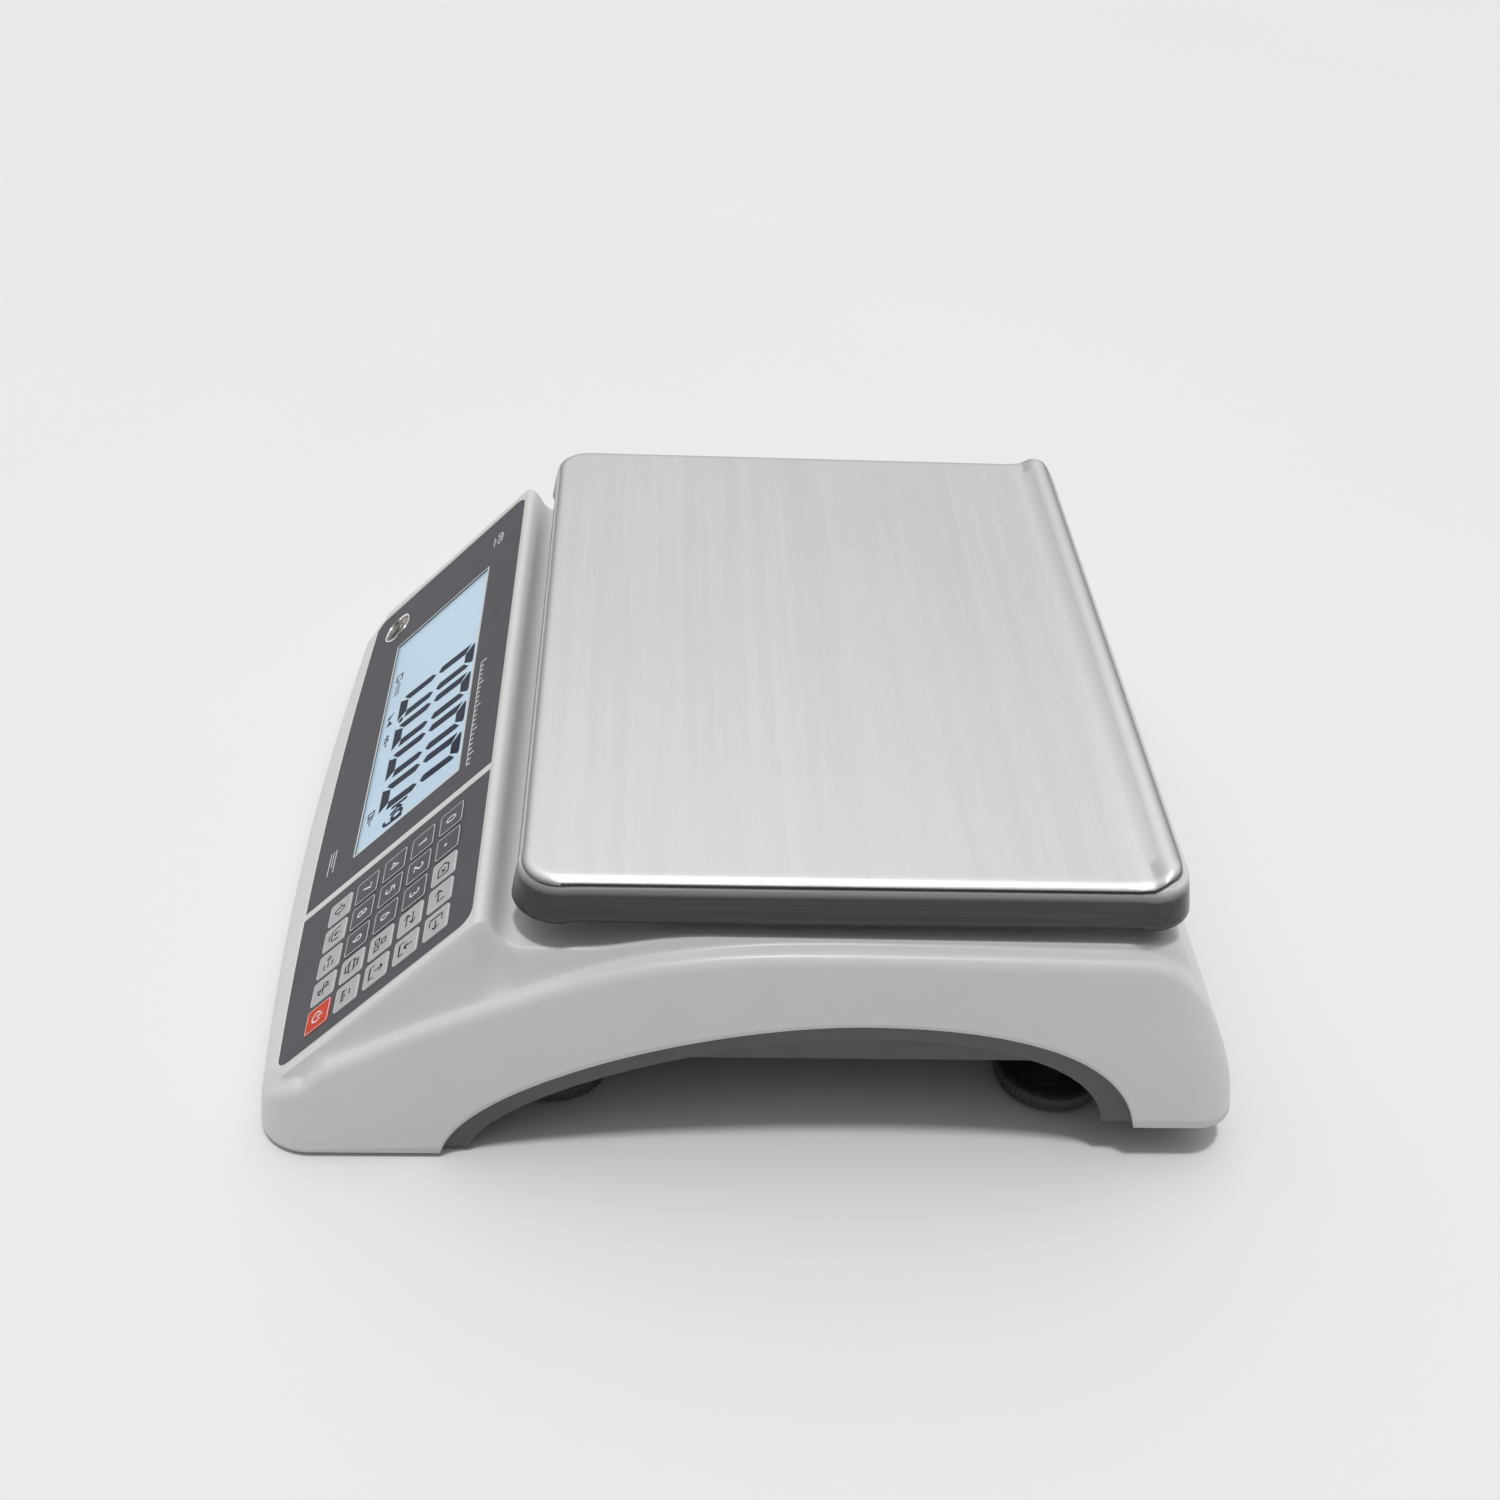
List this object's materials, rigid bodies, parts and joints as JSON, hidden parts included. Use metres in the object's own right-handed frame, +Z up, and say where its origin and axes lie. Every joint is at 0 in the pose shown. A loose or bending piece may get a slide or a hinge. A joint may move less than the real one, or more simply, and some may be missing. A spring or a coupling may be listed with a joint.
{
  "type": "retail price scale",
  "caption": "Counter scale with lift-off stainless pan, sloped lit display and membrane keypad, arched light-grey housing and adjustable levelling feet.",
  "frame": {"origin": "centre of the footprint, on the counter plane", "axes": "+X is the user's right, +Y points away from the user towards the rear, +Z is up"},
  "size_m": [0.316, 0.355, 0.126],
  "materials": {
    "housing_plastic": "fine spark-eroded texture, light grey",
    "base_plastic": "fine texture, dark grey",
    "overlay_film": "matte printed film",
    "key_dark": "matte printed film, thin white outline",
    "key_light": "matte printed film",
    "key_red": "matte printed film, thin white outline",
    "window_pane": "clear hard-coated pane",
    "lcd_lit": "lit liquid-crystal cell, pale blue",
    "diffuser": "white light guide",
    "circuit_board": "solder mask",
    "circuit_film": "printed polyester",
    "vial": "acrylic vial with spirit",
    "chrome_trim": "polished ring",
    "stainless": "brushed across its width",
    "cast_aluminium": "as cast or milled",
    "rubber": "matte",
    "black_steel": "black oxide",
    "yellow_zinc": "yellow passivated zinc",
    "zinc_steel": "clear zinc plate",
    "battery_case": "moulded",
    "black_plastic": "fine texture",
    "port_shell": "nickel plate",
    "brass_insert": "turned",
    "cable_jacket": "flexible jacket"
  },
  "bodies": {
    "housing": {"top_cover": "housing_plastic", "base_tray": "base_plastic", "display_overlay": "overlay_film", "keypad_overlay": "overlay_film", "lcd_window": "window_pane", "lcd_glass": "lcd_lit", "lcd_backlight": "diffuser", "display_board": "circuit_board", "keypad_circuit": "circuit_film", "level_vial": "vial", "level_bezel": "chrome_trim", "pan_spider": "cast_aluminium", "pan_cushions": "rubber", "load_cell": "cast_aluminium", "cell_spacers": "cast_aluminium", "load_cell_bolts": "black_steel", "overload_stops": "yellow_zinc", "chassis_plate": "zinc_steel", "main_board": "circuit_board", "battery": "battery_case", "power_jack": "black_plastic", "serial_port": "port_shell", "foot_inserts": "brass_insert", "housing_screws": "zinc_steel", "wiring": "cable_jacket"},
    "pan": {"weighing_pan": "stainless"},
    "battery_hatch": {"battery_door": "base_plastic"},
    "foot_front_left_pad": {"foot_pad_front_left": "rubber"},
    "foot_front_left_wheel": {"foot_wheel_front_left": "black_plastic"},
    "foot_front_right_pad": {"foot_pad_front_right": "rubber"},
    "foot_front_right_wheel": {"foot_wheel_front_right": "black_plastic"},
    "foot_rear_left_pad": {"foot_pad_rear_left": "rubber"},
    "foot_rear_left_wheel": {"foot_wheel_rear_left": "black_plastic"},
    "foot_rear_right_pad": {"foot_pad_rear_right": "rubber"},
    "foot_rear_right_wheel": {"foot_wheel_rear_right": "black_plastic"},
    "key_0_body": {"key_0": "key_dark"},
    "key_point_body": {"key_point": "key_dark"},
    "key_clear_body": {"key_clear": "key_light"},
    "key_enter_body": {"key_enter": "key_light"},
    "key_exit_body": {"key_exit": "key_light"},
    "key_1_body": {"key_1": "key_dark"},
    "key_2_body": {"key_2": "key_dark"},
    "key_3_body": {"key_3": "key_dark"},
    "key_units_kg_lb_body": {"key_units_kg_lb": "key_light"},
    "key_store_body": {"key_store": "key_light"},
    "key_4_body": {"key_4": "key_dark"},
    "key_5_body": {"key_5": "key_dark"},
    "key_6_body": {"key_6": "key_dark"},
    "key_piece_weight_body": {"key_piece_weight": "key_light"},
    "key_recall_body": {"key_recall": "key_light"},
    "key_7_body": {"key_7": "key_dark"},
    "key_8_body": {"key_8": "key_dark"},
    "key_9_body": {"key_9": "key_dark"},
    "key_print_body": {"key_print": "key_light"},
    "key_unit_body": {"key_unit": "key_light"},
    "key_zero_body": {"key_zero": "key_light"},
    "key_tare_body": {"key_tare": "key_light"},
    "key_accumulate_body": {"key_accumulate": "key_light"},
    "key_reference_body": {"key_reference": "key_light"},
    "key_power_body": {"key_power": "key_red"}
  },
  "joints": [
    {"name": "pan_lift", "type": "slide", "parent": "housing", "child": "pan", "axis": [0, 0, 1], "range_m": [0, 0.08]},
    {"name": "battery_door_slide", "type": "slide", "parent": "housing", "child": "battery_hatch", "axis": [0, -1, 0], "range_m": [0, 0.045]},
    {"name": "foot_front_left_rise", "type": "slide", "parent": "housing", "child": "foot_front_left_pad", "axis": [0, 0, 1], "range_m": [-0.0038, 0.00255]},
    {"name": "foot_front_left_turn", "type": "hinge", "parent": "foot_front_left_pad", "child": "foot_front_left_wheel", "pos_m": [-0.1135, -0.0675, 0], "axis": [0, 0, 1], "range_deg": [-1080, 720]},
    {"name": "foot_front_right_rise", "type": "slide", "parent": "housing", "child": "foot_front_right_pad", "axis": [0, 0, 1], "range_m": [-0.0038, 0.00255]},
    {"name": "foot_front_right_turn", "type": "hinge", "parent": "foot_front_right_pad", "child": "foot_front_right_wheel", "pos_m": [0.1135, -0.0675, 0], "axis": [0, 0, 1], "range_deg": [-1080, 720]},
    {"name": "foot_rear_left_rise", "type": "slide", "parent": "housing", "child": "foot_rear_left_pad", "axis": [0, 0, 1], "range_m": [-0.0038, 0.00255]},
    {"name": "foot_rear_left_turn", "type": "hinge", "parent": "foot_rear_left_pad", "child": "foot_rear_left_wheel", "pos_m": [-0.1165, 0.1175, 0], "axis": [0, 0, 1], "range_deg": [-1080, 720]},
    {"name": "foot_rear_right_rise", "type": "slide", "parent": "housing", "child": "foot_rear_right_pad", "axis": [0, 0, 1], "range_m": [-0.0038, 0.00255]},
    {"name": "foot_rear_right_turn", "type": "hinge", "parent": "foot_rear_right_pad", "child": "foot_rear_right_wheel", "pos_m": [0.1165, 0.1175, 0], "axis": [0, 0, 1], "range_deg": [-1080, 720]},
    {"name": "key_0_press", "type": "slide", "parent": "housing", "child": "key_0_body", "axis": [0, 0.7145, -0.6997], "range_m": [0, 0.0004]},
    {"name": "key_point_press", "type": "slide", "parent": "housing", "child": "key_point_body", "axis": [0, 0.7145, -0.6997], "range_m": [0, 0.0004]},
    {"name": "key_clear_press", "type": "slide", "parent": "housing", "child": "key_clear_body", "axis": [0, 0.7145, -0.6997], "range_m": [0, 0.0004]},
    {"name": "key_enter_press", "type": "slide", "parent": "housing", "child": "key_enter_body", "axis": [0, 0.7145, -0.6997], "range_m": [0, 0.0004]},
    {"name": "key_exit_press", "type": "slide", "parent": "housing", "child": "key_exit_body", "axis": [0, 0.7145, -0.6997], "range_m": [0, 0.0004]},
    {"name": "key_1_press", "type": "slide", "parent": "housing", "child": "key_1_body", "axis": [0, 0.7145, -0.6997], "range_m": [0, 0.0004]},
    {"name": "key_2_press", "type": "slide", "parent": "housing", "child": "key_2_body", "axis": [0, 0.7145, -0.6997], "range_m": [0, 0.0004]},
    {"name": "key_3_press", "type": "slide", "parent": "housing", "child": "key_3_body", "axis": [0, 0.7145, -0.6997], "range_m": [0, 0.0004]},
    {"name": "key_units_kg_lb_press", "type": "slide", "parent": "housing", "child": "key_units_kg_lb_body", "axis": [0, 0.7145, -0.6997], "range_m": [0, 0.0004]},
    {"name": "key_store_press", "type": "slide", "parent": "housing", "child": "key_store_body", "axis": [0, 0.7145, -0.6997], "range_m": [0, 0.0004]},
    {"name": "key_4_press", "type": "slide", "parent": "housing", "child": "key_4_body", "axis": [0, 0.7145, -0.6997], "range_m": [0, 0.0004]},
    {"name": "key_5_press", "type": "slide", "parent": "housing", "child": "key_5_body", "axis": [0, 0.7145, -0.6997], "range_m": [0, 0.0004]},
    {"name": "key_6_press", "type": "slide", "parent": "housing", "child": "key_6_body", "axis": [0, 0.7145, -0.6997], "range_m": [0, 0.0004]},
    {"name": "key_piece_weight_press", "type": "slide", "parent": "housing", "child": "key_piece_weight_body", "axis": [0, 0.7145, -0.6997], "range_m": [0, 0.0004]},
    {"name": "key_recall_press", "type": "slide", "parent": "housing", "child": "key_recall_body", "axis": [0, 0.7145, -0.6997], "range_m": [0, 0.0004]},
    {"name": "key_7_press", "type": "slide", "parent": "housing", "child": "key_7_body", "axis": [0, 0.7145, -0.6997], "range_m": [0, 0.0004]},
    {"name": "key_8_press", "type": "slide", "parent": "housing", "child": "key_8_body", "axis": [0, 0.7145, -0.6997], "range_m": [0, 0.0004]},
    {"name": "key_9_press", "type": "slide", "parent": "housing", "child": "key_9_body", "axis": [0, 0.7145, -0.6997], "range_m": [0, 0.0004]},
    {"name": "key_print_press", "type": "slide", "parent": "housing", "child": "key_print_body", "axis": [0, 0.7145, -0.6997], "range_m": [0, 0.0004]},
    {"name": "key_unit_press", "type": "slide", "parent": "housing", "child": "key_unit_body", "axis": [0, 0.7145, -0.6997], "range_m": [0, 0.0004]},
    {"name": "key_zero_press", "type": "slide", "parent": "housing", "child": "key_zero_body", "axis": [0, 0.7145, -0.6997], "range_m": [0, 0.0004]},
    {"name": "key_tare_press", "type": "slide", "parent": "housing", "child": "key_tare_body", "axis": [0, 0.7145, -0.6997], "range_m": [0, 0.0004]},
    {"name": "key_accumulate_press", "type": "slide", "parent": "housing", "child": "key_accumulate_body", "axis": [0, 0.7145, -0.6997], "range_m": [0, 0.0004]},
    {"name": "key_reference_press", "type": "slide", "parent": "housing", "child": "key_reference_body", "axis": [0, 0.7145, -0.6997], "range_m": [0, 0.0004]},
    {"name": "key_power_press", "type": "slide", "parent": "housing", "child": "key_power_body", "axis": [0, 0.7145, -0.6997], "range_m": [0, 0.0004]}
  ],
  "couplings": [
    {"joint": "foot_front_left_rise", "follows": "foot_front_left_turn", "m_per_rad": 0.00019894},
    {"joint": "foot_front_right_rise", "follows": "foot_front_right_turn", "m_per_rad": 0.00019894},
    {"joint": "foot_rear_left_rise", "follows": "foot_rear_left_turn", "m_per_rad": 0.00019894},
    {"joint": "foot_rear_right_rise", "follows": "foot_rear_right_turn", "m_per_rad": 0.00019894}
  ]
}
